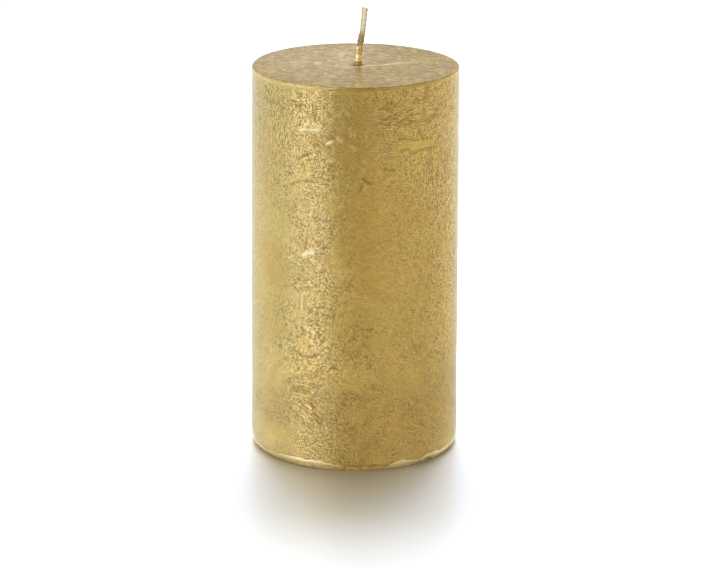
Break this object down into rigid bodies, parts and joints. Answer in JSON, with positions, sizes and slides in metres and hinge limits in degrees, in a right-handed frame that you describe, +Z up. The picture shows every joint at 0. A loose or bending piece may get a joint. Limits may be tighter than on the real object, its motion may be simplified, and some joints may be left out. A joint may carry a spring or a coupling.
{
  "type": "unity candle",
  "caption": "Free-standing pillar candle with a frosted gold wax coat, a softly rounded rim, a bevelled foot and one leaning unlit wick.",
  "frame": {"origin": "centre of the round foot, on the surface the candle stands on", "axes": "+Z up along the candle's axis; the wick leans towards +X; -Y is the side the candle is seen from"},
  "size_m": [0.0694, 0.0694, 0.1492],
  "materials": {
    "gold_metallic_wax": "satin",
    "gold_remelt_wax": "satin",
    "hard_wax": "satin",
    "pressed_wax": "matte",
    "fill_wax": "satin",
    "wick_cotton": "matte",
    "sleeve_wax": "gloss",
    "tin_plate": "satin",
    "seal_wax": "satin",
    "label_paper": "matte"
  },
  "bodies": {
    "root": {"gold_coat": "gold_metallic_wax", "foot_bead": "gold_remelt_wax", "overdip_shell": "hard_wax", "wax_core": "pressed_wax", "bore_fill_wax": "fill_wax", "wick": "wick_cotton", "wick_wax_sleeve": "sleeve_wax", "wick_sustainer": "tin_plate", "base_seal_plug": "seal_wax", "base_label": "label_paper"}
  },
  "joints": []
}
